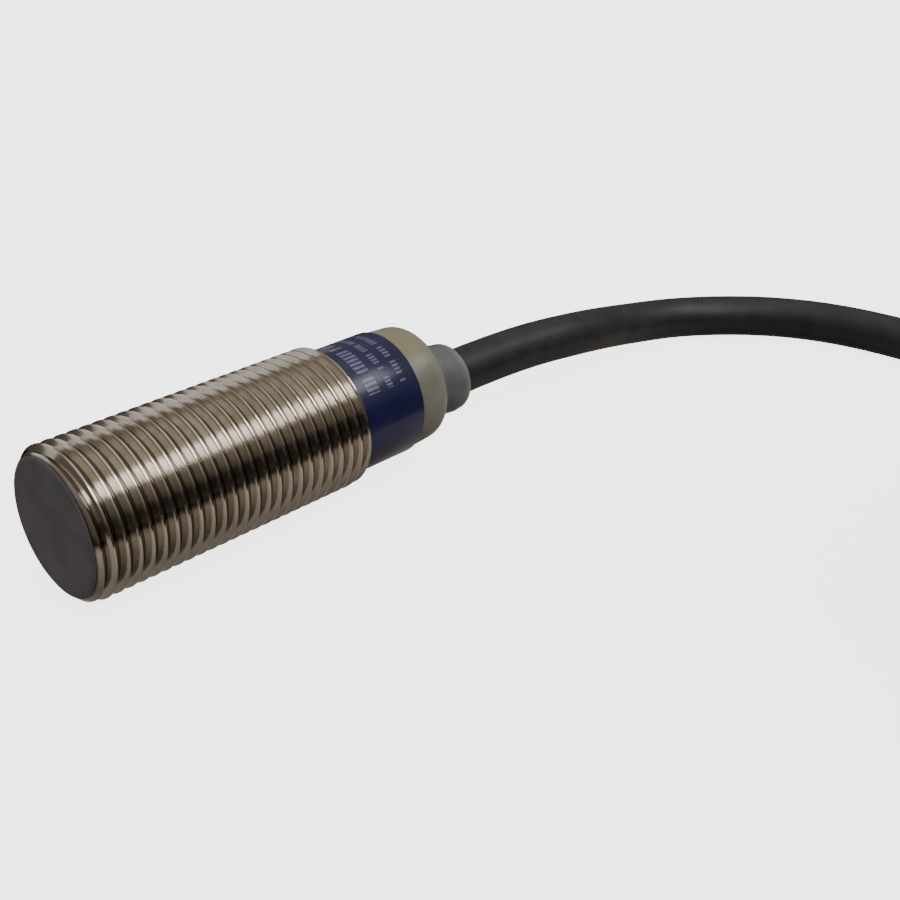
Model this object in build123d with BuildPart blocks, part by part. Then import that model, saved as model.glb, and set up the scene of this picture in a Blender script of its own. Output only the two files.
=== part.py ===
"""Inductive proximity sensor: short M12 threaded barrel, flush sensing face, moulded-in cable.

Millimetres.  The sensor's axis is parallel to X, with the sensing face towards -X and the cable leaving
towards +X.  The barrel lies on the plane Z = 0, and X = 0, Y = 0 is the middle of the sensor's length.
"""

from build123d import *
import math
import os

os.makedirs("parts", exist_ok=True)

# Barrel.
crest_diameter = 11.9
thread_pitch = 1.0
thread_depth = 0.61
thread_flank_angle = 60
thread_root_flat = 0.1
thread_length = 24.3
thread_turn = -138.4
rear_edge_break = 0.2
rear_section_length = 6.2
rear_section_step = 0.14
barrel_wall = 0.54
front_land = 0.53

# Sensing head.
seat_clearance = 0.02
flange_thickness = 0.2
flange_lip = 0.03
face_bevel = (0.15, 0.3)
face_thickness = 0.6
skirt_length = 7.0
skirt_wall = 0.35
shield_thickness = 0.25
shield_length = 4.6
core_clearance = 0.21
core_length = 3.6
core_wall = 0.75
core_post_diameter = 3.3
core_floor = 1.1
bobbin_wall = 0.2
winding_clearance = 0.05

# Electronics.
board_gap = 4.0
board_setback = 2.1
board_clearance = 0.2
board_thickness = 0.8
board_notch = 0.9
edge_margin = 0.4
coil_lead_diameter = 0.25
solder_film = 0.05
pad_size = (1.6, 1.1, 0.35)
chip_size = (3.4, 3.4, 0.9)
switch_size = (2.9, 1.6, 1.1)
diode_size = (2.6, 1.5, 1.0)
capacitor_size = (1.6, 0.8, 0.8)
resistor_size = (1.0, 0.5, 0.35)
led_size = (1.6, 0.8, 0.7)

# Label, rear cap with its sleeve, and crimp ring.
label_thickness = 0.12
label_gap = 0.25
cap_length = 3.6
cap_taper = 0.2
cap_edge_radius = 1.0
cap_rear_wall = 1.6
spigot_length = 3.0
spigot_wall = 0.78
sleeve_length = 3.8
sleeve_front_diameter = 6.6
sleeve_rear_diameter = 6.0
sleeve_edge_radius = 0.5
sleeve_offset = (-0.7, -0.55)
crimp_wall = 0.65
crimp_length = 1.6

# Cable.
cable_diameter = 4.1
conductor_diameter = 1.3
conductor_circle = 0.8
strand_diameter = 0.75
stripped_length = 5.0
lead_names = ["brown", "blue", "black"]
cable_radius = cable_diameter / 2

# The free cable's route, after its straight start: chosen points, down to the table and along it.
exit_run = 7.9
free_route = [
    (35.4, -2.0, 5.0),
    (43.0, -0.7, 3.1),
    (52.0, -2.5, cable_radius),
    (59.0, -9.5, cable_radius),
    (62.4, -18.5, cable_radius),
    (62.6, -34.0, cable_radius),
    (62.1, -49.0, cable_radius),
]

# The put-away coil, its tie and the cable's tail.
ring_centre = (37.5, -65.2)
ring_mean_radius = 20.5
ring_columns = 3
ring_layers = 5
ring_last_turns = (1.0, 1.25)
ring_edge_radius = 1.6
ring_width = ring_columns * cable_diameter
ring_height = ring_layers * cable_diameter
tie_width = 5.0
tie_thickness = 0.5
tie_clearance = 0.3
tie_angle = 70
tail_route = [
    (30.0, -89.8, ring_height - cable_radius),
    (20.5, -89.7, 16.8),
    (11.0, -89.8, 12.2),
    (2.5, -88.2, 6.8),
    (-4.0, -83.6, 3.2),
    (-8.3, -77.4, 2.4),
]
lead_tips = [(-15.4, -66.4), (-6.2, -63.4), (-11.4, -64.6)]

# Distances behind the sensing face that follow from the sizes above.
thread_end = flange_thickness + thread_length
barrel_rear = thread_end + rear_section_length
cap_rear = barrel_rear + cap_length
sleeve_rear = cap_rear + sleeve_length
face_x = -sleeve_rear / 2

# Radii that follow from them.
crest_radius = crest_diameter / 2
axis_height = crest_radius
root_radius = crest_radius - thread_depth
rear_section_radius = root_radius - rear_section_step
bore_radius = root_radius - barrel_wall
front_edge_radius = bore_radius + front_land
skirt_radius = bore_radius - seat_clearance
cup_radius = skirt_radius - skirt_wall
cavity_radius = skirt_radius - spigot_wall


def across(distance, offset=(0, 0)):
    """The plane square to the sensor's axis at a distance behind the sensing face."""
    origin = (face_x + distance, offset[0], axis_height + offset[1])
    return Plane(origin=origin, x_dir=(0, 1, 0), z_dir=(1, 0, 0))


def lengthwise():
    """The plane that holds the sensor's axis: local x runs back from the face, local y up from the axis."""
    return Plane(origin=(face_x, 0, axis_height), x_dir=(1, 0, 0), z_dir=(0, -1, 0))


def sensor_axis():
    return Axis((face_x, 0, axis_height), (1, 0, 0))


def save(part, name):
    part.label = name
    export_step(part, f"parts/{name}.step")


def bend_radii(points):
    """The arc at each corner of a route: 0.45 of the shorter run over the tangent of half the turn."""
    radii = []
    for before, corner, after in zip(points, points[1:], points[2:]):
        run_in = Vector(*corner) - Vector(*before)
        run_out = Vector(*after) - Vector(*corner)
        half_turn = math.radians(run_in.get_angle(run_out) / 2)
        radii.append(0.45 * min(run_in.length, run_out.length) / math.tan(half_turn))
    return radii


def tube(points, diameter):
    """A round tube along straight runs joined by tangent arcs."""
    with BuildPart() as made:
        with BuildLine() as route:
            FilletPolyline(*points, radius=bend_radii(points))
        path = route.wires()[0]
        with BuildSketch(Plane(origin=path @ 0, z_dir=path % 0)):
            Circle(diameter / 2)
        sweep(path=path)
    return made.part, path.length


# Threaded barrel: turned brass tube with a 60 degree thread and a plain rear section. Last, the barrel is
# turned about its axis, which sets where its thread starts.
chamfer_run = crest_radius - front_edge_radius
with BuildPart() as threaded_barrel:
    with BuildSketch(lengthwise()):
        with BuildLine():
            Polyline(
                (flange_thickness, bore_radius),
                (flange_thickness, front_edge_radius),
                (flange_thickness + chamfer_run, crest_radius),
                (thread_end - rear_edge_break, crest_radius),
                (thread_end, crest_radius - rear_edge_break),
                (thread_end, rear_section_radius),
                (barrel_rear, rear_section_radius),
                (barrel_rear, bore_radius),
                close=True,
            )
        make_face()
    revolve(axis=sensor_axis())
    thread_start = flange_thickness - thread_pitch
    groove_top = thread_depth + 0.3
    groove_half = thread_root_flat / 2 + groove_top * math.tan(math.radians(thread_flank_angle / 2))
    with BuildLine(Plane.XY, mode=Mode.PRIVATE) as helix:
        Helix(
            thread_pitch,
            thread_end + thread_pitch - thread_start,
            root_radius,
            center=(face_x + thread_start, 0, axis_height),
            direction=(1, 0, 0),
        )
    start = helix.line @ 0
    outward = start - Vector(face_x + thread_start, 0, axis_height)
    with BuildSketch(Plane(origin=start, x_dir=outward, z_dir=helix.line % 0)) as groove:
        with BuildLine():
            Polyline(
                (0, -thread_root_flat / 2),
                (groove_top, -groove_half),
                (groove_top, groove_half),
                (0, thread_root_flat / 2),
                close=True,
            )
        make_face()
    sweep(groove.sketch, path=helix.line, is_frenet=True, mode=Mode.SUBTRACT)
save(threaded_barrel.part.rotate(sensor_axis(), thread_turn), "threaded_barrel")

# Sensing face cap: moulded cup whose flange covers the barrel's front edge and whose skirt fills the bore.
face_radius = front_edge_radius - flange_lip
with BuildPart() as sensing_face_cap:
    with BuildSketch(lengthwise()):
        with BuildLine():
            Polyline(
                (0, 0),
                (0, face_radius - face_bevel[1]),
                (face_bevel[0], face_radius),
                (flange_thickness, face_radius),
                (flange_thickness, skirt_radius),
                (skirt_length, skirt_radius),
                (skirt_length, cup_radius),
                (face_thickness, cup_radius),
                (face_thickness, 0),
                close=True,
            )
        make_face()
    revolve(axis=sensor_axis())
save(sensing_face_cap.part, "sensing_face_cap")

# Shield ring: copper band round the core, which keeps the field off the barrel in a flush sensor.
shield_outer = cup_radius - seat_clearance
shield_inner = shield_outer - shield_thickness
with BuildPart() as shield_ring:
    with BuildSketch(across(face_thickness)):
        Circle(shield_outer)
        Circle(shield_inner, mode=Mode.SUBTRACT)
    extrude(amount=shield_length)
save(shield_ring.part, "shield_ring")

# Ferrite core: half pot core, open towards the face, with two holes for the coil's leads.
core_rear = face_thickness + core_length
core_radius = shield_inner - core_clearance
slot_rear = core_rear - core_floor
slot_outer = core_radius - core_wall
slot_middle = (slot_outer + core_post_diameter / 2) / 2
lead_height = board_thickness / 2 + solder_film + coil_lead_diameter / 2
lead_places = [(side * slot_middle, lead_height) for side in (-1, 1)]
lead_hole_diameter = coil_lead_diameter + 2 * winding_clearance
with BuildPart() as ferrite_core:
    with BuildSketch(across(face_thickness)):
        Circle(core_radius)
    extrude(amount=core_length)
    with BuildSketch(across(face_thickness)):
        Circle(slot_outer)
        Circle(core_post_diameter / 2, mode=Mode.SUBTRACT)
    extrude(amount=core_length - core_floor, mode=Mode.SUBTRACT)
    with BuildSketch(across(slot_rear)):
        with Locations(*lead_places):
            Circle(lead_hole_diameter / 2)
    extrude(amount=core_floor, mode=Mode.SUBTRACT)
save(ferrite_core.part, "ferrite_core")

# Coil bobbin: thin moulded spool in the core's ring slot.
bobbin_front = face_thickness + winding_clearance
bobbin_rear = slot_rear - winding_clearance
bobbin_inner = core_post_diameter / 2 + winding_clearance
bobbin_outer = slot_outer - winding_clearance
with BuildPart() as coil_bobbin:
    with BuildSketch(lengthwise()):
        with BuildLine():
            Polyline(
                (bobbin_front, bobbin_inner),
                (bobbin_front, bobbin_outer),
                (bobbin_front + bobbin_wall, bobbin_outer),
                (bobbin_front + bobbin_wall, bobbin_inner + bobbin_wall),
                (bobbin_rear - bobbin_wall, bobbin_inner + bobbin_wall),
                (bobbin_rear - bobbin_wall, bobbin_outer),
                (bobbin_rear, bobbin_outer),
                (bobbin_rear, bobbin_inner),
                close=True,
            )
        make_face()
    revolve(axis=sensor_axis())
    with BuildSketch(across(bobbin_rear - bobbin_wall)):
        with Locations(*lead_places):
            Circle(lead_hole_diameter / 2)
    extrude(amount=bobbin_wall, mode=Mode.SUBTRACT)
save(coil_bobbin.part, "coil_bobbin")

# Coil winding: many turns of fine copper wire, as one ring between the bobbin's flanges.
winding_front = bobbin_front + bobbin_wall
winding_rear = bobbin_rear - bobbin_wall
with BuildPart() as coil_winding:
    with BuildSketch(across(winding_front)):
        Circle(bobbin_outer - winding_clearance)
        Circle(bobbin_inner + bobbin_wall, mode=Mode.SUBTRACT)
    extrude(amount=winding_rear - winding_front)
save(coil_winding.part, "coil_winding")

# Coil leads: the winding's two ends, straight back to the board's front pads.
board_front = core_rear + board_gap
with BuildPart() as coil_leads:
    with BuildSketch(across(winding_rear)):
        with Locations(*lead_places):
            Circle(coil_lead_diameter / 2)
    extrude(amount=board_front + pad_size[0] - winding_rear)
save(coil_leads.part, "coil_leads")

# Circuit board: on the axis, with two corner notches at the front.
board_rear = barrel_rear - board_setback
board_half_width = cavity_radius - board_clearance
with BuildPart() as circuit_board:
    with BuildSketch(Plane((face_x, 0, axis_height - board_thickness / 2))):
        with Locations(((board_front + board_rear) / 2, 0)):
            Rectangle(board_rear - board_front, 2 * board_half_width)
        with Locations(*[(board_front, side * board_half_width) for side in (-1, 1)]):
            Rectangle(2 * board_notch, 2 * board_notch, mode=Mode.SUBTRACT)
    extrude(amount=board_thickness)
save(circuit_board.part, "circuit_board")


def mounted(name, size, places, side=1):
    """Box-shaped parts of one kind, soldered to the board's top (side 1) or underside (side -1)."""
    height = axis_height + side * (board_thickness + size[2]) / 2
    with BuildPart() as made:
        with Locations(*[(face_x + x, y, height) for x, y in places]):
            Box(*size)
    save(made.part, name)
    return made.part


# Parts on the board, in rows shared out evenly between its front and rear pads.
front_row = board_front + pad_size[0]
rear_row = board_rear - pad_size[0]
rows = [front_row + (rear_row - front_row) * k / 5 for k in range(6)]
led_edge = board_half_width - edge_margin - led_size[1] / 2
board_parts = [
    mounted("oscillator_chip", chip_size, [(rows[1], 0)]),
    mounted("chip_capacitors", capacitor_size, [(rows[2], y) for y in (-1.9, 0, 1.9)]),
    mounted("chip_resistors", resistor_size, [(rows[3], y) for y in (-1.8, 0, 1.8)]),
    mounted("output_transistor", switch_size, [(rows[4], 0)]),
    mounted("protection_diodes", diode_size, [(rows[1], -1.4), (rows[1], 1.4), (rows[3], 0)], -1),
    mounted("status_leds", led_size, [(rear_row, -led_edge), (rear_row, led_edge)]),
]

# Rear cap: translucent moulding that passes the LEDs' light, with a spigot in the bore and a cable sleeve.
spigot_front = barrel_rear - spigot_length
cavity_rear = cap_rear - cap_rear_wall
offset_y, offset_z = sleeve_offset
bend_start = cap_rear - 0.3
bend_end = sleeve_rear - 1.2
jacket_front = cavity_rear - crimp_length
jacket_route = [
    (face_x + jacket_front, 0, axis_height),
    (face_x + bend_start, 0, axis_height),
    (face_x + bend_end, offset_y, axis_height + offset_z),
    (face_x + sleeve_rear, offset_y, axis_height + offset_z),
]
cable_end, cable_end_length = tube(jacket_route, cable_diameter)
cable_hole, _ = tube(jacket_route, cable_diameter + 2 * seat_clearance)
save(cable_end, "cable_end_in_cap")

with BuildPart() as rear_light_cap:
    with BuildSketch(lengthwise()):
        with BuildLine():
            Polyline(
                (spigot_front, cavity_radius),
                (spigot_front, skirt_radius),
                (barrel_rear, skirt_radius),
                (barrel_rear, rear_section_radius),
                (cap_rear, rear_section_radius - cap_taper),
                (cap_rear, 0),
                (cavity_rear, 0),
                (cavity_rear, cavity_radius),
                close=True,
            )
        make_face()
    revolve(axis=sensor_axis())
    rear_edge = rear_light_cap.edges().filter_by(GeomType.CIRCLE).sort_by(Axis.X)[-1]
    fillet(rear_edge, cap_edge_radius)
    with BuildSketch(across(cap_rear - cap_rear_wall / 2)):
        Circle(sleeve_front_diameter / 2)
    with BuildSketch(across(sleeve_rear, sleeve_offset)):
        Circle(sleeve_rear_diameter / 2)
    loft()
    fillet(rear_light_cap.faces().sort_by(Axis.X)[-1].edges(), sleeve_edge_radius)
    add(cable_hole, mode=Mode.SUBTRACT)
save(rear_light_cap.part, "rear_light_cap")

# Crimp ring: brass ring pressed on the jacket, which stops the cable pulling out of the cap.
with BuildPart() as crimp_ring:
    with BuildSketch(across(jacket_front)):
        Circle(cable_radius + crimp_wall)
        Circle(cable_radius, mode=Mode.SUBTRACT)
    extrude(amount=crimp_length)
save(crimp_ring.part, "crimp_ring")

# Type label: printed film wrapped round the barrel's plain rear section.
with BuildPart() as type_label:
    with BuildSketch(across(thread_end + label_gap)):
        Circle(rear_section_radius + label_thickness)
        Circle(rear_section_radius, mode=Mode.SUBTRACT)
    extrude(amount=barrel_rear - thread_end - label_gap)
save(type_label.part, "type_label")

# Conductors inside the cap: from the jacket's end to the board's rear edge, two above and one below.
conductor_radius = conductor_diameter / 2
conductor_height = board_thickness / 2 + solder_film + conductor_radius
conductor_places = [(-1.0, 1), (1.0, 1), (0, -1)]
inner_conductors = []
for index, (place, side) in enumerate(conductor_places):
    angle = math.radians(150 - 120 * index)
    end = Vector(conductor_circle * math.cos(angle), conductor_circle * math.sin(angle))
    route = [
        (face_x + rear_row, place, axis_height + side * conductor_height),
        (face_x + board_rear + 0.6, place, axis_height + side * conductor_height),
        (face_x + jacket_front - 0.6, end.X, axis_height + end.Y),
        (face_x + jacket_front, end.X, axis_height + end.Y),
    ]
    conductor, _ = tube(route, conductor_diameter)
    save(conductor, f"inner_conductor_{lead_names[index]}")
    inner_conductors.append(conductor)

# Solder joints: low blocks of solder round the coil leads and the conductors' ends.
with BuildPart() as solder_joints:
    front_pads = [(board_front + pad_size[0] / 2, y, 1) for y, _ in lead_places]
    rear_pads = [(board_rear - pad_size[0] / 2, y, side) for y, side in conductor_places]
    for along, y, side in front_pads + rear_pads:
        with Locations((face_x + along, y, axis_height + side * (board_thickness + pad_size[2]) / 2)):
            Box(*pad_size)
    add(coil_leads.part, mode=Mode.SUBTRACT)
    for conductor in inner_conductors:
        add(conductor, mode=Mode.SUBTRACT)
save(solder_joints.part, "solder_joints")

# Potting resin: fills the barrel from the core back to the cap's spigot, round the board and its parts.
resin_rear = rear_row - pad_size[0]
with BuildPart() as potting_resin:
    with BuildSketch(lengthwise()):
        with BuildLine():
            Polyline(
                (core_rear, 0),
                (core_rear, shield_inner - seat_clearance),
                (face_thickness + shield_length, shield_inner - seat_clearance),
                (face_thickness + shield_length, cup_radius),
                (skirt_length, cup_radius),
                (skirt_length, bore_radius),
                (resin_rear, bore_radius),
                (resin_rear, 0),
                close=True,
            )
        make_face()
    revolve(axis=sensor_axis())
    for piece in [circuit_board.part, coil_leads.part, solder_joints.part, *board_parts]:
        add(piece, mode=Mode.SUBTRACT)
save(potting_resin.part, "potting_resin")

# Free cable: straight out of the sleeve, down to the table and round towards its put-away coil.
exit_point = (face_x + sleeve_rear, offset_y, axis_height + offset_z)
straight_end = (exit_point[0] + exit_run, exit_point[1], exit_point[2])
run_points = [exit_point, straight_end, *free_route]
cable_run, run_length = tube(run_points, cable_diameter)
save(cable_run, "cable_run")

# Cable tail: off the top of the coil and down beside it, to the stripped end.
cable_tail, tail_length = tube(tail_route, cable_diameter)
save(cable_tail, "cable_tail")

# Put-away coil: its turns' outer shape as one ring, held by a tie.
ring_middle = (*ring_centre, ring_height / 2)
tie_way = Vector(1, 0, 0).rotate(Axis.Z, tie_angle)
tie_opening = ring_width + 2 * tie_clearance
with BuildPart() as coil_tie:
    with BuildSketch(Plane(ring_middle, x_dir=tie_way, z_dir=tie_way.cross(Vector(0, 0, 1)))):
        with Locations((ring_mean_radius, 0)):
            RectangleRounded(tie_opening + 2 * tie_thickness, ring_height, 1.5 * tie_thickness)
            RectangleRounded(
                tie_opening,
                ring_height - 2 * tie_thickness,
                tie_thickness / 2,
                mode=Mode.SUBTRACT,
            )
    extrude(amount=tie_width / 2, both=True)
save(coil_tie.part, "coil_tie")
with BuildPart() as cable_coil:
    with BuildSketch(Plane(ring_middle, x_dir=(1, 0, 0), z_dir=(0, -1, 0))):
        with Locations((ring_mean_radius, 0)):
            RectangleRounded(ring_width, ring_height, ring_edge_radius)
    revolve(axis=Axis((*ring_centre, 0), (0, 0, 1)))
    for strap_height in (tie_thickness / 2, ring_height - tie_thickness / 2):
        strap_middle = Vector(*ring_centre, strap_height) + tie_way * ring_mean_radius
        with Locations(Location(strap_middle, (0, 0, tie_angle))):
            Box(tie_opening, tie_width, tie_thickness, mode=Mode.SUBTRACT)
    add(cable_run, mode=Mode.SUBTRACT)
    add(cable_tail, mode=Mode.SUBTRACT)
save(cable_coil.part, "cable_coil")

# Stripped end: three insulated leads that fan out on the table, each with a tinned tip.
tail_end = Vector(*tail_route[-1])
tail_way = (tail_end - Vector(*tail_route[-2])).normalized()
end_plane = Plane(origin=tail_end, x_dir=tail_way.cross(Vector(0, 0, 1)), z_dir=tail_way)
for index, tip in enumerate(lead_tips):
    angle = math.radians(150 - 120 * index)
    around = (conductor_circle * math.cos(angle), conductor_circle * math.sin(angle), 0)
    root = end_plane.from_local_coords(around)
    clear = root + tail_way * 3 * conductor_radius
    tip_point = Vector(tip[0], tip[1], conductor_radius)
    landing = Vector(clear.X, clear.Y, conductor_radius) + (tip_point - clear) * 0.45
    landing = Vector(landing.X, landing.Y, conductor_radius)
    lead, _ = tube([tuple(root), tuple(clear), tuple(landing), tuple(tip_point)], conductor_diameter)
    save(lead, f"free_lead_{lead_names[index]}")
    way = (tip_point - landing).normalized()
    with BuildPart() as tinned_tip:
        with BuildSketch(Plane(origin=tip_point, z_dir=way)):
            Circle(strand_diameter / 2)
        extrude(amount=stripped_length)
    save(tinned_tip.part, f"tinned_tip_{lead_names[index]}")

# Lengths and bends of the cable, for the record: the last layer's turns lie in its two outer columns.
columns = [ring_mean_radius + cable_diameter * (k - (ring_columns - 1) / 2) for k in range(ring_columns)]
turns = [(radius, 1.0) for radius in (ring_layers - 1) * columns] + list(zip(columns[1:], ring_last_turns))
coil_length = sum(2 * math.pi * radius * share for radius, share in turns)
section = math.pi * cable_radius**2
print("cable run", run_length, "volume", cable_run.volume, "section x length", section * run_length)
print("run bend radii", [round(radius, 1) for radius in bend_radii(run_points)])
print("tail", tail_length, "bend radii", [round(radius, 1) for radius in bend_radii(tail_route)])
print("coil", sum(share for _, share in turns), "turns, length", coil_length)
print("whole jacket", run_length + coil_length + tail_length)
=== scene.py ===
import math

import bmesh
import bpy
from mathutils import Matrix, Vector


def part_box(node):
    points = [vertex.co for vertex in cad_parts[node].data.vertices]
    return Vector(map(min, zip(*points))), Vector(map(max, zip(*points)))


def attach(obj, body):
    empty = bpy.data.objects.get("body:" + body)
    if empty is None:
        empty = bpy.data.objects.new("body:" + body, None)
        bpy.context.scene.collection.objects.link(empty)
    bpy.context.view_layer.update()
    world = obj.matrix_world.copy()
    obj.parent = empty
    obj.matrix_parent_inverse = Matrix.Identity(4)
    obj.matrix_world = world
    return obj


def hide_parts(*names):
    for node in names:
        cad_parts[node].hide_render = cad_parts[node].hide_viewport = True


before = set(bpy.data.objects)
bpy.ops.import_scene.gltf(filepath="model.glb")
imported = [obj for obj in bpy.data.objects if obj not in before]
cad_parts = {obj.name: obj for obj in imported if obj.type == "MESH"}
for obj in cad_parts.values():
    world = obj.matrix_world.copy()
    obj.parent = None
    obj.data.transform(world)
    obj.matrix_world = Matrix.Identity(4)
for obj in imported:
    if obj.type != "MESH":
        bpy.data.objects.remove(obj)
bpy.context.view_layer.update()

# Table and light: the sensor lies on a glowing white table before a white backdrop, so it casts hardly any
# shadow. A softbox stands high at its front and a low, wide one behind it. The metal mirrors the room, which
# is dark round the table's edge, paler overhead, and has the table's own tone below the edge.
mm = 0.001


def linear(hex_colour):
    """An sRGB hex colour as linear RGBA."""
    parts = [int(hex_colour[k : k + 2], 16) / 255 for k in (1, 3, 5)]
    return tuple(c / 12.92 if c <= 0.04045 else ((c + 0.055) / 1.055) ** 2.4 for c in parts) + (1.0,)


def add_node(tree, kind, links=(), values=(), **settings):
    """A shader node of a kind: links and values feed its inputs, by name or number."""
    node = tree.nodes.new("ShaderNode" + kind)
    for name, value in settings.items():
        setattr(node, name, value)
    for key, value in dict(values).items():
        node.inputs[key].default_value = value
    for key, source in dict(links).items():
        tree.links.new(source, node.inputs[key])
    return node


def colour_ramp(tree, source, stops):
    """The colours of (position, hex colour) stops, in rising order, as source runs from 0 to 1."""
    node = add_node(tree, "ValToRGB", {0: source})
    for position, _ in stops[2:]:
        node.color_ramp.elements.new(position)
    for element, (position, colour) in zip(node.color_ramp.elements, stops):
        element.position = position
        element.color = linear(colour)
    return node.outputs["Color"]


def start_material(name, **settings):
    """A material with its shader's constants set, and the node that reads Object coordinates."""
    material = bpy.data.materials.new(name)
    material.use_nodes = True
    shader = material.node_tree.nodes["Principled BSDF"]
    for key, value in settings.items():
        shader.inputs[key.replace("_", " ")].default_value = value
    place = add_node(material.node_tree, "TexCoord").outputs["Object"]
    return material, material.node_tree, shader, place


def studio_piece(name, shape, casts_shadow):
    """A glowing white part of the studio, which isn't part of the object and isn't mirrored in it."""
    mesh = bpy.data.meshes.new(name)
    shape.to_mesh(mesh)
    shape.free()
    paint = {"Base_Color": linear("#f6f5f3"), "Roughness": 0.7}
    paint.update({"Emission_Color": linear("#ffffff"), "Emission_Strength": stage_glow})
    mesh.materials.append(start_material(name + "_matt_white", **paint)[0])
    piece = bpy.data.objects.new(name, mesh)
    bpy.context.scene.collection.objects.link(piece)
    piece.visible_glossy = False
    piece.visible_diffuse = False
    piece.visible_shadow = casts_shadow


stage_reach = 1.5
stage_glow = 3.2
table_shape = bmesh.new()
bmesh.ops.create_grid(table_shape, x_segments=1, y_segments=1, size=stage_reach)
studio_piece("table", table_shape, True)
backdrop_shape = bmesh.new()
bmesh.ops.create_icosphere(backdrop_shape, subdivisions=4, radius=stage_reach)
studio_piece("backdrop", backdrop_shape, False)

# The room's tones by height: 0 is straight down, 0.5 the horizon and 1 straight up.
room_tones = [
    (0.0, "#57524c"),
    (0.14, "#958e85"),
    (0.3, "#b3aca2"),
    (0.33, "#0a0908"),
    (0.37, "#161311"),
    (0.42, "#4f4843"),
    (0.62, "#665f58"),
    (0.74, "#8f887f"),
    (0.87, "#8f887f"),
    (0.94, "#dcd6cc"),
    (1.0, "#ccc5bb"),
]
world = bpy.data.worlds.new("room")
bpy.context.scene.world = world
world.use_nodes = True
room = world.node_tree
direction = add_node(room, "SeparateXYZ", {0: add_node(room, "TexCoord").outputs["Generated"]})
height = add_node(room, "MapRange", {"Value": direction.outputs["Z"]}, {"From Min": -1.0})
room_colour = colour_ramp(room, height.outputs["Result"], room_tones)
room.links.new(room_colour, room.nodes["Background"].inputs["Color"])


def soft_light(name, width, depth, power, place):
    """A rectangular area light that faces the sensor."""
    light = bpy.data.lights.new(name, "AREA")
    light.shape = "RECTANGLE"
    light.size = width
    light.size_y = depth
    light.energy = power
    lamp = bpy.data.objects.new(name, light)
    bpy.context.scene.collection.objects.link(lamp)
    lamp.location = place
    lamp.rotation_euler = (-Vector(place)).to_track_quat("-Z", "Y").to_euler()


soft_light("front_softbox", 0.42, 0.15, 0.68, (0.13, -0.25, 0.35))
soft_light("rear_softbox", 0.7, 0.2, 0.25, (-0.05, 0.42, 0.15))

# Camera: at the sensor's front left and a little above it, looking along it to the cable. It has a 50 mm
# lens for a full frame, and stands close, so the near end looks larger than the far one.
camera_data = bpy.data.cameras.new("camera")
camera_data.sensor_width = 36
camera_data.lens = 50.6
camera_data.clip_start = 5 * mm
camera = bpy.data.objects.new("camera", camera_data)
bpy.context.scene.collection.objects.link(camera)
camera.location = (-52.33 * mm, -71.99 * mm, 52.03 * mm)
camera.rotation_euler = (math.radians(61.812), 0, math.radians(-45.102))
bpy.context.scene.camera = camera

# Threaded barrel: a brass tube turned from bar, cut with a 60 degree thread of 1 mm pitch and nickel plated.
# Its plain rear section is a little thinner, for the label.
face_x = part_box("sensing_face_cap")[0].x / mm
barrel_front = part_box("threaded_barrel")[0].x / mm - face_x
barrel_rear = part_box("threaded_barrel")[1].x / mm - face_x
crest_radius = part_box("threaded_barrel")[1].y / mm
axis_height = crest_radius
front_edge_radius = 5.33
rear_section_radius = 5.2
bore_radius = 4.8
thread_end = 24.5
thread_pitch = 1.0
thread_depth = 0.61
groove_at_top = 0.586
rear_edge_break = 0.2
corner_break = 0.02
thread_steps = 96
turns_before = 3
turns_after = 2

# One turn's outline, as distances along the barrel and depths below the crest: crest, flank, root, flank.
# tooth_groove is where its root lies, and groove_at_top where the first groove is at the barrel's top.
tooth = [(0.0, 0.04), (0.03, 0.0), (0.166, 0.0), (0.196, 0.04)]
tooth += [(0.196 + 0.082 * k, 0.04 + 0.14 * k) for k in (1, 2, 3)]
tooth += [(0.535, thread_depth), (0.635, thread_depth)]
tooth += [(0.67 + 0.0825 * k, 0.6 - 0.14 * k) for k in (0, 1, 2, 3)]
tooth_groove = 0.585


def at(distance, radius, turn):
    """A point at a distance behind the face, a radius and a turn about the sensor's axis from +Y."""
    up = axis_height + radius * math.sin(turn)
    return Vector(((face_x + distance) * mm, radius * math.cos(turn) * mm, up * mm))


def distance_and_radius(point):
    """How far a point is behind the face, and how far from the sensor's axis."""
    return point.x / mm - face_x, math.hypot(point.y / mm, point.z / mm - axis_height)


def extend_ring(shape, ring, distance, radius):
    """Extrudes an open ring of edges, and puts the new ring at a distance behind the face and a radius."""
    made = bmesh.ops.extrude_edge_only(shape, edges=ring)["geom"]
    for vert in [part for part in made if isinstance(part, bmesh.types.BMVert)]:
        vert.co = at(distance, radius, math.atan2(vert.co.z / mm - axis_height, vert.co.y / mm))
    return [part for part in made if isinstance(part, bmesh.types.BMEdge) and part.is_boundary]


def finish_piece(shape, name, material, replaced, sharp):
    """The bmesh as a piece on the one body, in place of a CAD node, smooth below the sharp angle."""
    bmesh.ops.remove_doubles(shape, verts=shape.verts, dist=1e-4 * mm)
    bmesh.ops.recalc_face_normals(shape, faces=shape.faces)
    mesh = bpy.data.meshes.new(name)
    shape.to_mesh(mesh)
    shape.free()
    mesh.materials.append(material)
    mesh.shade_smooth()
    mesh.set_sharp_from_angle(angle=math.radians(sharp))
    piece = bpy.data.objects.new(name, mesh)
    bpy.context.scene.collection.objects.link(piece)
    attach(piece, "root")
    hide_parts(replaced)


def stretch(tree, source, low, high, start=0.0, end=1.0):
    """Source's range from low to high, moved to start and end and held there."""
    ends = {"From Min": low, "From Max": high, "To Min": start, "To Max": end}
    return add_node(tree, "MapRange", {"Value": source}, ends).outputs["Result"]


def calculate(tree, operation, first, second=0.0, third=0.0):
    """A Math node: each number is a value, and anything else is a socket."""
    node = add_node(tree, "Math", operation=operation)
    for key, source in enumerate((first, second, third)):
        if isinstance(source, (int, float)):
            node.inputs[key].default_value = source
        else:
            tree.links.new(source, node.inputs[key])
    return node.outputs[0]


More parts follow.
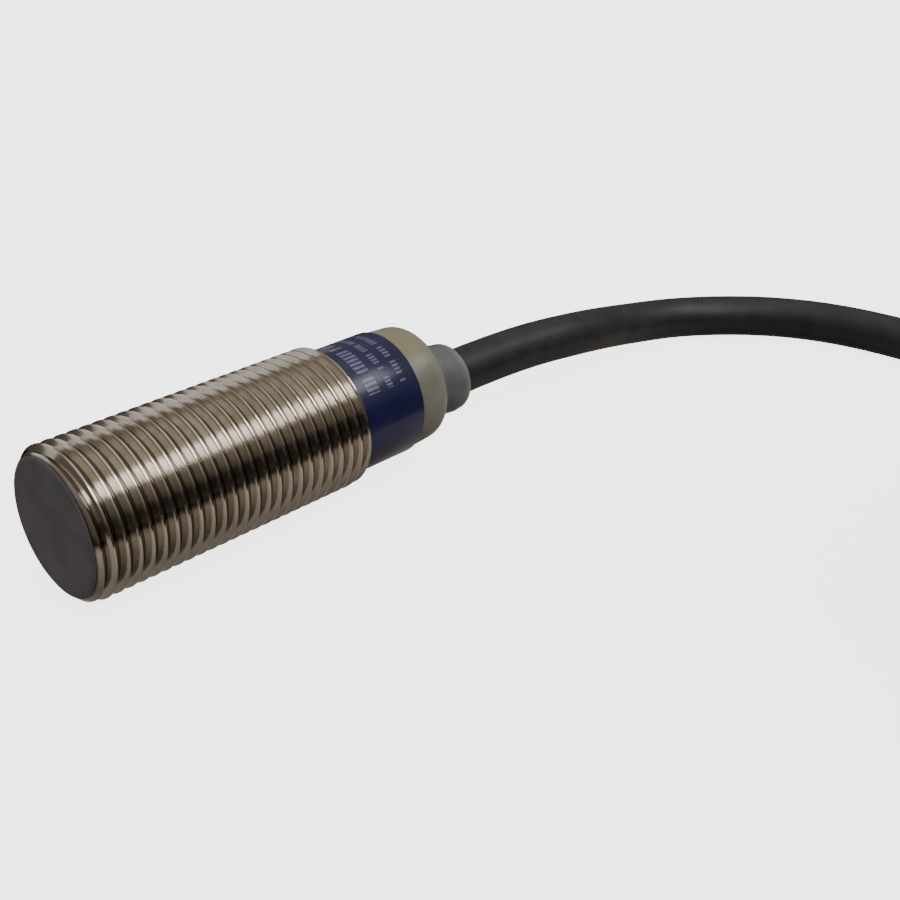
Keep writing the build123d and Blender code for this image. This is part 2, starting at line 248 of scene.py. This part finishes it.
def grain(tree, place, size_mm, along=1.0, detail=3.0):
    """Noise with features of a size in mm, drawn out or squeezed along the sensor's axis."""
    scaled = add_node(tree, "Mapping", {"Vector": place}, {"Scale": (1 / along, 1, 1)})
    fineness = {"Scale": 1 / (size_mm * mm), "Detail": detail}
    return add_node(tree, "TexNoise", {"Vector": scaled.outputs[0]}, fineness).outputs["Fac"]


def mix_colour(tree, share, first, second):
    """A blend of two colours, each a hex value or a socket."""
    node = add_node(tree, "Mix", {0: share}, data_type="RGBA")
    for key, colour in ((6, first), (7, second)):
        if isinstance(colour, str):
            node.inputs[key].default_value = linear(colour)
        else:
            tree.links.new(colour, node.inputs[key])
    return node.outputs[2]


def relief(tree, shader, height, depth_mm):
    """Fine relief of a depth in mm, from a height between 0 and 1."""
    node = add_node(tree, "Bump", {"Height": height}, {"Strength": 1.0, "Distance": depth_mm * mm})
    tree.links.new(node.outputs[0], shader.inputs["Normal"])


def axis_radius(tree, place):
    """The distances from the sensor's axis and behind its face, in mm, and the turn about the axis."""
    parts = add_node(tree, "SeparateXYZ", {0: place})
    across = calculate(tree, "MULTIPLY", parts.outputs["Y"], 1 / mm)
    up = calculate(tree, "MULTIPLY_ADD", parts.outputs["Z"], 1 / mm, -axis_height)
    behind = calculate(tree, "MULTIPLY_ADD", parts.outputs["X"], 1 / mm, -face_x)
    squares = calculate(tree, "MULTIPLY_ADD", up, up, calculate(tree, "MULTIPLY", across, across))
    return calculate(tree, "SQRT", squares), behind, calculate(tree, "ARCTAN2", up, across)


def nickel_plate():
    """Nickel over turned brass: a warm grey, slightly dull mirror with fine tool marks, painted shade in the
    roots and a painted highlight on the crests.
    """
    material, tree, shader, place = start_material("nickel_plated_brass", Metallic=1.0)
    radius, _, _ = axis_radius(tree, place)
    cloud = grain(tree, place, 1.6)
    body = colour_ramp(tree, cloud, [(0.3, "#c2b9ac"), (0.5, "#cdc5b9"), (0.75, "#dad3c8")])
    pits = stretch(tree, grain(tree, place, 0.16, detail=1.0), 0.66, 0.74)
    worn = mix_colour(tree, calculate(tree, "MULTIPLY", pits, 0.35), body, "#6a5f54")
    # Painted shade: the colour darkens towards the bottom of each groove, where shade falls between the
    # teeth.
    root_radius = crest_radius - thread_depth
    root = stretch(tree, radius, root_radius, root_radius + 0.2 * thread_depth, 0.85, 0.0)
    root_shaded = mix_colour(tree, root, worn, "#2a2420")
    # Painted highlight: the crests are lightened to a paler metal, for the bright lines along them.
    crest = stretch(tree, radius, crest_radius - 0.05, crest_radius - 0.01, 0.0, 0.5)
    tree.links.new(mix_colour(tree, crest, root_shaded, "#e2dbd0"), shader.inputs["Base Color"])
    tool_marks = grain(tree, place, 0.5, along=0.06, detail=4.0)
    tree.links.new(stretch(tree, tool_marks, 0.3, 0.7, 0.1, 0.2), shader.inputs["Roughness"])
    relief(tree, shader, tool_marks, 0.004)
    return material


barrel_shape = bmesh.new()
outline = []
for turn in range(-turns_before, math.ceil(thread_end) + turns_after):
    for along, below in tooth:
        distance = turn * thread_pitch + groove_at_top - tooth_groove + along
        outline.append(barrel_shape.verts.new(at(distance, crest_radius - below, math.pi / 2)))
outline_edges = [barrel_shape.edges.new(pair) for pair in zip(outline, outline[1:])]
bmesh.ops.spin(
    barrel_shape,
    geom=outline + outline_edges,
    cent=at(0, 0, 0),
    axis=(1, 0, 0),
    dvec=(thread_pitch * mm / thread_steps, 0, 0),
    angle=2 * math.pi,
    steps=thread_steps,
)
bmesh.ops.remove_doubles(barrel_shape, verts=barrel_shape.verts, dist=0.002 * mm)
for distance, outward in ((barrel_front, -1), (thread_end, 1)):
    bmesh.ops.bisect_plane(
        barrel_shape,
        geom=barrel_shape.verts[:] + barrel_shape.edges[:] + barrel_shape.faces[:],
        dist=1e-4 * mm,
        plane_co=at(distance, 0, 0),
        plane_no=(outward, 0, 0),
        clear_outer=True,
    )
for vert in barrel_shape.verts:
    distance, radius = distance_and_radius(vert.co)
    front_limit = front_edge_radius + distance - barrel_front
    rear_limit = crest_radius - rear_edge_break + thread_end - distance
    limited = min(radius, front_limit, rear_limit)
    vert.co = at(distance, limited, math.atan2(vert.co.z / mm - axis_height, vert.co.y / mm))
middle = (barrel_front + thread_end) / 2
ends = [edge for edge in barrel_shape.edges if edge.is_boundary]
front_ring = [edge for edge in ends if distance_and_radius(edge.verts[0].co)[0] < middle]
rear_ring = [edge for edge in ends if distance_and_radius(edge.verts[0].co)[0] > middle]
for distance, radius in [
    (thread_end, rear_section_radius + corner_break),
    (thread_end + corner_break, rear_section_radius),
    (barrel_rear, rear_section_radius),
    (barrel_rear, bore_radius),
]:
    rear_ring = extend_ring(barrel_shape, rear_ring, distance, radius)
front_ring = extend_ring(barrel_shape, front_ring, barrel_front, bore_radius)
bmesh.ops.bridge_loops(barrel_shape, edges=front_ring + rear_ring)
finish_piece(barrel_shape, "barrel", nickel_plate(), "threaded_barrel", 40)

# Sensing face cap: a moulded cup of dark grey PBT, pushed into the barrel's front. Its flat end is the
# sensing face, with a small bevel round it, a fine matt grain and a little pale dust.
face_radius = 5.3
face_bevel = (0.15, 0.3)
face_edge_round = 0.06
skirt_radius = 4.78
skirt_end = 7.0
cup_radius = 4.43
cup_floor = 0.6


def turned(outline, steps=128):
    """A round shape: a closed outline of (distance behind the face, radius), spun about the axis."""
    shape = bmesh.new()
    corners = [shape.verts.new(at(distance, radius, math.pi / 2)) for distance, radius in outline]
    edges = [shape.edges.new(pair) for pair in zip(corners, corners[1:] + corners[:1])]
    spun = {"cent": at(0, 0, 0), "axis": (1, 0, 0), "angle": 2 * math.pi, "steps": steps, "use_merge": True}
    bmesh.ops.spin(shape, geom=corners + edges, **spun)
    bmesh.ops.remove_doubles(shape, verts=shape.verts, dist=1e-4 * mm)
    return shape


def round_edges(shape, width, chosen):
    """Rounds the sharp edges that the test on distance and radius chooses."""
    least_angle = 0.3
    bmesh.ops.recalc_face_normals(shape, faces=shape.faces)
    sharp = [edge for edge in shape.edges if edge.is_manifold and edge.calc_face_angle() > least_angle]
    picked = [edge for edge in sharp if all(chosen(*distance_and_radius(vert.co)) for vert in edge.verts)]
    bmesh.ops.bevel(
        shape,
        geom=picked,
        offset=width * mm,
        segments=3,
        profile=0.5,
        affect="EDGES",
        material=-1,
        clamp_overlap=True,
    )


def dark_moulding():
    """Dark grey PBT with a spark-eroded matt grain: it takes a soft sheen and shows specks of pale dust."""
    material, tree, shader, place = start_material("dark_grey_moulding", Roughness=0.58, IOR=1.5)
    cloud = colour_ramp(tree, grain(tree, place, 2.5), [(0.3, "#66666f"), (0.7, "#757580")])
    dust = stretch(tree, grain(tree, place, 0.14, detail=1.0), 0.71, 0.76)
    dusty = mix_colour(tree, calculate(tree, "MULTIPLY", dust, 0.7), cloud, "#b4b2b0")
    tree.links.new(dusty, shader.inputs["Base Color"])
    relief(tree, shader, grain(tree, place, 0.12), 0.008)
    return material


face_shape = turned(
    [
        (0, 0),
        (0, face_radius / 2),
        (0, face_radius - face_bevel[1]),
        (face_bevel[0], face_radius),
        (barrel_front, face_radius),
        (barrel_front, skirt_radius),
        (skirt_end, skirt_radius),
        (skirt_end, cup_radius),
        (cup_floor, cup_radius),
        (cup_floor, 0),
    ]
)
bevel_zone = (face_bevel[0] + barrel_front) / 2
round_edges(face_shape, face_edge_round, lambda distance, radius: distance < bevel_zone)
finish_piece(face_shape, "face_cap", dark_moulding(), "sensing_face_cap", 50)

# Rear light cap: a milky moulding whose spigot sits in the bore. The glow of the LEDs on the board through
# it is painted into its colour. Its neck, moulded on, closes round the cable and leads it off a little low
# and to one side.
cap_rear = 34.3
cap_rear_radius = 5.05
cap_edge_radius = 1.2
spigot_front = barrel_rear - 3.0
cavity_radius = 4.0
cavity_rear = cap_rear - 1.6
neck_fillet = 0.42
neck_fillet_gap = 0.45
neck_front_radius = 3.3
neck_rear_radius = 3.0
neck_line = [(35.4, 3.22), (36.2, 3.14), (37.0, 3.07)]
neck_rear = 38.1
neck_lip = 0.5
neck_offset = (-0.7, -0.55)
neck_bend = (34.0, 37.0)
cable_diameter = 4.1
cable_radius = cable_diameter / 2
cable_hole_radius = cable_radius + 0.02


def neck_place(distance):
    """How far the neck's middle has left the axis at a distance behind the face."""
    share = min(max((distance - neck_bend[0]) / (neck_bend[1] - neck_bend[0]), 0), 1)
    eased = share * share * (3 - 2 * share)
    return neck_offset[0] * eased, neck_offset[1] * eased


def arc(centre, radius, start, end, count=6):
    """Points of an arc in (distance, radius), between two angles in degrees from the rearward direction."""
    angles = [math.radians(start + (end - start) * k / count) for k in range(count + 1)]
    return [(centre[0] + radius * math.cos(a), centre[1] + radius * math.sin(a)) for a in angles]


def milky_plastic():
    """Translucent polyamide: light goes a few millimetres into it, and a painted yellow glow lies on it
    where the LED sits.
    """
    settings = {"Roughness": 0.32, "IOR": 1.53, "Subsurface_Weight": 0.75, "Subsurface_Scale": 3 * mm}
    material, tree, shader, place = start_material("milky_polyamide", **settings)
    shader.inputs["Subsurface Radius"].default_value = (1.0, 0.92, 0.7)
    _, behind, _ = axis_radius(tree, place)
    body = colour_ramp(tree, grain(tree, place, 3.0), [(0.3, "#94958c"), (0.7, "#a6a79d")])
    # Painted glow: the colour turns yellow near the LED, for its light showing through the cap.
    led_glow = add_node(tree, "VectorMath", {0: place}, operation="DISTANCE")
    led_glow.inputs[1].default_value = at(31.4, 4.9, math.radians(112))
    near = stretch(tree, led_glow.outputs["Value"], 0.8 * mm, 2.8 * mm, 0.45, 0.0)
    with_painted_glow = mix_colour(tree, near, body, "#b3a55e")
    rear = stretch(tree, behind, cap_rear - 0.6, cap_rear + 1.2)
    cool = mix_colour(tree, calculate(tree, "MULTIPLY", rear, 0.8), with_painted_glow, "#757a84")
    lip = stretch(tree, behind, neck_rear - 1.0, neck_rear - 0.5, 0.0, 0.6)
    tree.links.new(mix_colour(tree, lip, cool, "#a4a49f"), shader.inputs["Base Color"])
    relief(tree, shader, grain(tree, place, 0.35), 0.01)
    return material


cap_edge_start = cap_rear - cap_edge_radius
cap_outline = [(spigot_front, cavity_radius), (spigot_front, skirt_radius), (barrel_rear, skirt_radius)]
cap_outline += [(barrel_rear + 0.05, rear_section_radius - 0.06)]
cap_outline += [(barrel_rear + 0.12, rear_section_radius), (cap_edge_start, cap_rear_radius)]
cap_outline += arc((cap_edge_start, cap_rear_radius - cap_edge_radius), cap_edge_radius, 80, 8, 8)
cap_outline += arc((cap_rear + neck_fillet_gap, neck_front_radius + neck_fillet), neck_fillet, 190, 270, 5)
cap_outline += neck_line
cap_outline += arc((neck_rear - neck_lip, neck_rear_radius - neck_lip), neck_lip, 85, 0)
cap_outline += [(neck_rear, cable_hole_radius + 0.12), (neck_rear - 0.1, cable_hole_radius)]
cable_hole_steps = (37.0, 36.2, 35.5, 34.8, 34.0, cavity_rear)
cap_outline += [(distance, cable_hole_radius) for distance in cable_hole_steps]
cap_outline += [(cavity_rear, cavity_radius)]
cap_shape = turned(cap_outline)
for vert in cap_shape.verts:
    aside, down = neck_place(distance_and_radius(vert.co)[0])
    vert.co += Vector((0, aside * mm, down * mm))
finish_piece(cap_shape, "light_cap", milky_plastic(), "rear_light_cap", 50)

# Type label: a printed polyester film, navy with pale lavender print, wrapped once round the rear section.
# The print is rows of plain blocks that run round the barrel. Each row is its middle, its half height, the
# blocks' pitch, and the share of the pitch that a block fills.
label_front = thread_end + 0.25
label_radius = rear_section_radius + 0.12
print_rows = [(26.2, 0.6, 0.42, 0.62), (27.9, 0.3, 0.3, 0.6), (29.3, 0.3, 0.34, 0.55)]
print_start = math.radians(66)
print_end = math.radians(146)
blank_share = 0.22
label_edge_round = 0.04


def printed_film():
    """Glossy navy film with a slightly uneven, thin pale print."""
    settings = {"Roughness": 0.28, "IOR": 1.5, "Coat_Weight": 0.3, "Coat_Roughness": 0.15}
    material, tree, shader, place = start_material("printed_navy_film", **settings)
    _, behind, turn = axis_radius(tree, place)
    round_mm = calculate(tree, "MULTIPLY", turn, label_radius)
    after_start = calculate(tree, "GREATER_THAN", turn, print_start)
    in_zone = calculate(tree, "MULTIPLY", after_start, calculate(tree, "LESS_THAN", turn, print_end))
    printed = 0.0
    for middle_line, half_height, block_pitch, block_share in print_rows:
        row = calculate(tree, "COMPARE", behind, middle_line, half_height)
        counted = calculate(tree, "DIVIDE", round_mm, block_pitch)
        whole = calculate(tree, "FLOOR", counted)
        block = calculate(tree, "LESS_THAN", calculate(tree, "FRACT", counted), block_share)
        kept = add_node(tree, "TexWhiteNoise", {"W": whole}, noise_dimensions="1D").outputs["Value"]
        shown = calculate(tree, "GREATER_THAN", kept, blank_share)
        marks = calculate(tree, "MULTIPLY", calculate(tree, "MULTIPLY", row, block), shown)
        printed = calculate(tree, "ADD", printed, marks)
    printed = calculate(tree, "MULTIPLY", printed, in_zone)
    patchy = stretch(tree, grain(tree, place, 0.5), 0.3, 0.65, 0.45, 0.9)
    film = colour_ramp(tree, grain(tree, place, 4.0), [(0.3, "#1e2150"), (0.7, "#292c60")])
    inked = calculate(tree, "MULTIPLY", printed, patchy)
    tree.links.new(mix_colour(tree, inked, film, "#8f93bd"), shader.inputs["Base Color"])
    relief(tree, shader, grain(tree, place, 1.2), 0.01)
    return material


label_shape = turned(
    [
        (label_front, rear_section_radius),
        (label_front, label_radius),
        (barrel_rear, label_radius),
        (barrel_rear, rear_section_radius),
    ],
    160,
)
round_edges(label_shape, label_edge_round, lambda distance, radius: radius > rear_section_radius + 0.05)
finish_piece(label_shape, "label", printed_film(), "type_label", 50)

# Cable: round PVC jacket over three conductors, 4.1 mm across, 2 m long as it is sold. It leaves the neck
# straight, comes down to the table and bends round to the right, and the rest of it is wound into a tied
# coil. Its end comes down off the coil to three bare leads.
ring_centre = (37.5, -65.2)
ring_mean_radius = 20.5
ring_columns = 3
ring_layers = 5
turn_points = 24
exit_point = (19.05, -0.7, 5.4)
cable_route = [
    exit_point,
    (26.95, -0.7, 5.4),
    (35.4, -2.0, 5.0),
    (43.0, -0.7, 3.1),
    (52.0, -2.5, cable_radius),
    (59.0, -9.5, cable_radius),
    (62.4, -18.5, cable_radius),
    (62.6, -34.0, cable_radius),
    (62.1, -49.0, cable_radius),
]
tail_route = [
    (30.0, -89.8, ring_layers * cable_diameter - cable_radius),
    (20.5, -89.7, 16.8),
    (11.0, -89.8, 12.2),
    (2.5, -88.2, 6.8),
    (-4.0, -83.6, 3.2),
    (-8.3, -77.4, 2.4),
]


def ring_point(radius, step, up):
    """A point on the coil at a radius and a height, a number of steps clockwise from its right side."""
    turn = -2 * math.pi * step / turn_points
    return ring_centre[0] + radius * math.cos(turn), ring_centre[1] + radius * math.sin(turn), up


def coil_turns():
    """The coil's turns, each layer beside and on the last, and the quarter turn before the tail."""
    inner_radius = ring_mean_radius - cable_diameter * (ring_columns - 1) / 2
    columns = [inner_radius + cable_diameter * column for column in range(ring_columns)]
    stops = []
    for layer in range(ring_layers - 1):
        across = columns if layer % 2 else columns[::-1]
        stops += [(radius, layer) for radius in across]
    stops += [(radius, ring_layers - 1) for radius in (*columns[1:], columns[-1])]
    points = []
    for (radius, layer), (next_radius, next_layer) in zip(stops, stops[1:]):
        for step in range(turn_points):
            rise = min(max((step / turn_points - 0.6) / 0.2, 0), 1)
            shift = min(max((step / turn_points - 0.8) / 0.2, 0), 1)
            here = radius + (next_radius - radius) * shift
            up = cable_radius + cable_diameter * (layer + (next_layer - layer) * rise)
            points.append(ring_point(here, step, up))
    for step in range(turn_points // 4 + 1):
        points.append(ring_point(columns[-1], step, tail_route[0][2]))
    return points


def extruded_jacket():
    """Charcoal PVC extruded through a die: nearly matt, with a soft sheen and a faint orange-peel skin."""
    material, tree, shader, place = start_material("extruded_black_pvc", Roughness=0.46, IOR=1.5)
    tone = colour_ramp(tree, grain(tree, place, 1.8), [(0.3, "#313136"), (0.7, "#3f3f45")])
    dust = stretch(tree, grain(tree, place, 0.2, detail=1.0), 0.7, 0.76, 0.0, 0.25)
    tree.links.new(mix_colour(tree, dust, tone, "#6a6a6c"), shader.inputs["Base Color"])
    relief(tree, shader, grain(tree, place, 0.45), 0.012)
    return material


jacket = extruded_jacket()
cable_points = cable_route + coil_turns() + tail_route
cable_curve = bpy.data.curves.new("cable", "CURVE")
cable_curve.dimensions = "3D"
cable_line = cable_curve.splines.new("NURBS")
cable_line.points.add(len(cable_points) - 1)
for point, place in zip(cable_line.points, cable_points):
    point.co = (*(value * mm for value in place), 1)
cable_line.order_u = 3
cable_line.use_endpoint_u = True
cable_line.resolution_u = 5
cable_curve.bevel_depth = cable_radius * mm
cable_curve.bevel_resolution = 7
cable_curve.use_fill_caps = True
cable_curve.materials.append(jacket)
cable = bpy.data.objects.new("cable", cable_curve)
bpy.context.scene.collection.objects.link(cable)
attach(cable, "root")
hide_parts("cable_run", "cable_coil", "cable_tail")


# Inside parts, tie and bare leads: the CAD solids' own shapes, each with the finish of what it is made of.
# The grain of the wound and turned ones is squeezed along the axis, so that it runs round it.
def plain_finish(name, dark, light, grain_mm, depth_mm=0.005, along=1.0, **settings):
    """A finish with two close tones and a fine relief at one grain size."""
    material, tree, shader, place = start_material(name, **settings)
    pattern = grain(tree, place, grain_mm, along)
    tree.links.new(colour_ramp(tree, pattern, [(0.3, dark), (0.7, light)]), shader.inputs["Base Color"])
    relief(tree, shader, pattern, depth_mm)
    return material


finishes = {
    ("crimp_ring",): plain_finish(
        "turned_brass", "#b08d4a", "#cdb06c", 0.3, along=0.1, Metallic=1.0, Roughness=0.3
    ),
    ("shield_ring",): plain_finish(
        "rolled_copper", "#a8663f", "#c98a62", 0.4, Metallic=1.0, Roughness=0.35
    ),
    ("coil_winding", "coil_leads"): plain_finish(
        "enamelled_copper_wire", "#8a4a22", "#b9713c", 0.12, 0.02, 0.3, Metallic=0.8, Roughness=0.3
    ),
    ("ferrite_core",): plain_finish("sintered_ferrite", "#262629", "#3a3a3e", 0.2, Roughness=0.7),
    ("coil_bobbin",): plain_finish("natural_nylon", "#cfc7b2", "#ded8c8", 0.8, Roughness=0.45),
    ("circuit_board",): plain_finish("solder_mask_green", "#0b4a2a", "#125c36", 0.7, Roughness=0.3),
    ("oscillator_chip", "output_transistor", "protection_diodes", "chip_resistors"): plain_finish(
        "moulded_black_epoxy", "#19191b", "#28282a", 0.1, Roughness=0.6
    ),
    ("chip_capacitors",): plain_finish("fired_tan_ceramic", "#8d7350", "#a98d66", 0.15, Roughness=0.4),
    ("status_leds",): plain_finish("yellow_led_epoxy", "#d8b540", "#ead06a", 0.4, Roughness=0.2),
    ("solder_joints",): plain_finish(
        "bright_solder", "#b4b4b8", "#d2d2d4", 0.25, Metallic=1.0, Roughness=0.25
    ),
    ("potting_resin",): plain_finish("cast_black_resin", "#1a1a1c", "#26262a", 1.5, Roughness=0.35),
    ("cable_end_in_cap",): jacket,
    ("inner_conductor_brown", "free_lead_brown"): plain_finish(
        "brown_core_pvc", "#4a2a18", "#5c3620", 0.6, Roughness=0.4
    ),
    ("inner_conductor_blue", "free_lead_blue"): plain_finish(
        "blue_core_pvc", "#16448c", "#1f55a6", 0.6, Roughness=0.4
    ),
    ("inner_conductor_black", "free_lead_black"): plain_finish(
        "black_core_pvc", "#161617", "#232324", 0.6, Roughness=0.4
    ),
    ("tinned_tip_brown", "tinned_tip_blue", "tinned_tip_black"): plain_finish(
        "tinned_copper_strands", "#9d9da2", "#cfcfd2", 0.18, 0.03, 2.5, Metallic=1.0, Roughness=0.3
    ),
    ("coil_tie",): plain_finish("woven_black_strap", "#1c1c1e", "#303033", 0.25, 0.03, Roughness=0.75),
}
for nodes, material in finishes.items():
    for node in nodes:
        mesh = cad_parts[node].data
        mesh.materials.clear()
        mesh.materials.append(material)
